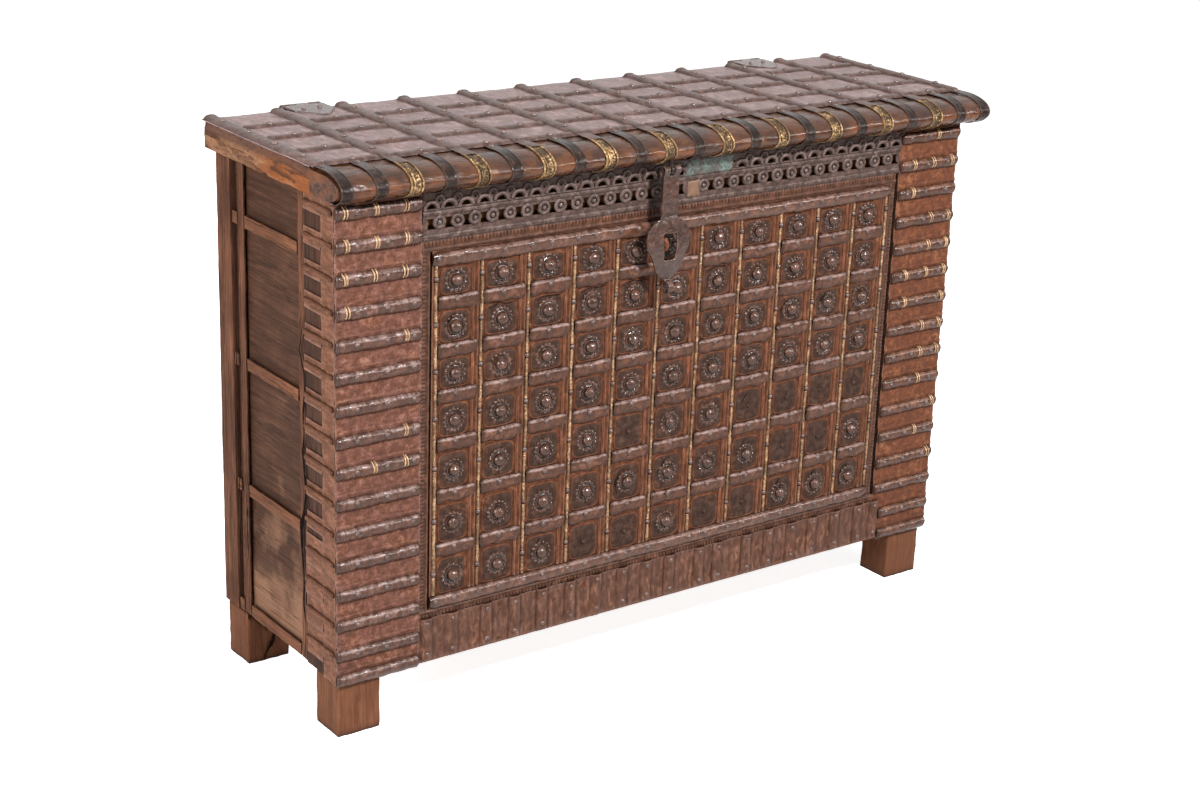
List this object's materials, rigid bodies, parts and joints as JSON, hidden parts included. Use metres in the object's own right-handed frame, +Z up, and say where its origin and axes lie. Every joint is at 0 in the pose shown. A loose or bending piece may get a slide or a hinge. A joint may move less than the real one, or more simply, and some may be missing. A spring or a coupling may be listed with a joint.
{
  "type": "damchiya chest",
  "caption": "Long wooden storage chest on short block legs, front and lid covered in nailed ironwork, with a hinged lid and a hanging hasp over a staple.",
  "frame": {"origin": "on the floor, in the middle of the chest's length and depth", "axes": "+X along the chest's length to the right as seen from the front, -Y out of the front, +Z up"},
  "size_m": [1.265, 0.463, 0.8966],
  "materials": {
    "wood_carcass": "old, dry and worn, dark brown",
    "wood_rails": "worn, red-brown",
    "wood_lid": "polished by handling, dark red-brown",
    "iron_brown": "forged, rust-brown patina",
    "iron_dark": "forged, dark grey-brown",
    "iron_lid": "worn bright, mauve-brown",
    "iron_patina": "grey-green patina",
    "brass": "hammered, tarnished"
  },
  "bodies": {
    "carcass": {"leg_front_left": "wood_carcass", "leg_front_right": "wood_carcass", "leg_rear_left": "wood_carcass", "leg_rear_right": "wood_carcass", "post_front_left": "wood_carcass", "post_front_right": "wood_carcass", "post_rear_left": "wood_carcass", "post_rear_right": "wood_carcass", "front_boards": "wood_carcass", "frieze_board": "wood_carcass", "rear_boards": "wood_carcass", "end_panel_left": "wood_carcass", "end_panel_right": "wood_carcass", "floor_boards": "wood_carcass", "end_stiles": "wood_carcass", "end_rails": "wood_rails", "corner_wraps": "iron_brown", "side_ribs": "iron_brown", "front_sheets": "iron_brown", "flank_ribs": "iron_brown", "flank_nails": "iron_brown", "notched_bands": "iron_brown", "lattice_frame_bars": "iron_brown", "lattice_rails": "iron_brown", "cross_ribs": "iron_brown", "lattice_nails": "iron_brown", "rosette_plates": "iron_brown", "rosettes": "iron_brown", "skirt_ribs": "iron_brown", "skirt_studs": "iron_brown", "staple_plate": "iron_brown", "staple": "iron_brown", "frieze_openwork": "iron_dark", "frieze_studs": "iron_dark", "hinge_body_leaf_left": "iron_dark", "hinge_body_leaf_right": "iron_dark", "hinge_pin_left": "iron_dark", "hinge_pin_right": "iron_dark", "hinge_body_nails": "iron_dark", "frieze_patches": "iron_patina", "flank_brass_rings": "brass", "brass_strips": "brass"},
    "lid": {"lid_nosing": "wood_lid", "lid_boards": "wood_lid", "lid_end_clamp": "wood_lid", "lid_sheet": "iron_lid", "lid_end_strap": "iron_lid", "lid_long_straps": "iron_lid", "lid_cross_straps": "iron_lid", "lid_nails": "iron_lid", "nosing_iron_bands": "iron_lid", "nosing_brass_bands": "brass", "hinge_lid_leaf_left": "iron_lid", "hinge_lid_leaf_right": "iron_lid", "hasp_eye": "iron_lid", "hasp_pin": "iron_dark"},
    "hasp": {"hasp": "iron_dark"}
  },
  "joints": [
    {"name": "lid_hinge", "type": "hinge", "parent": "carcass", "child": "lid", "pos_m": [0, 0.2245, 0.8843], "axis": [-1, 0, 0], "range_deg": [0, 105]},
    {"name": "hasp_pivot", "type": "hinge", "parent": "lid", "child": "hasp", "pos_m": [-0.04949, -0.216, 0.836], "axis": [-1, 0, 0], "range_deg": [-7, 110]}
  ]
}
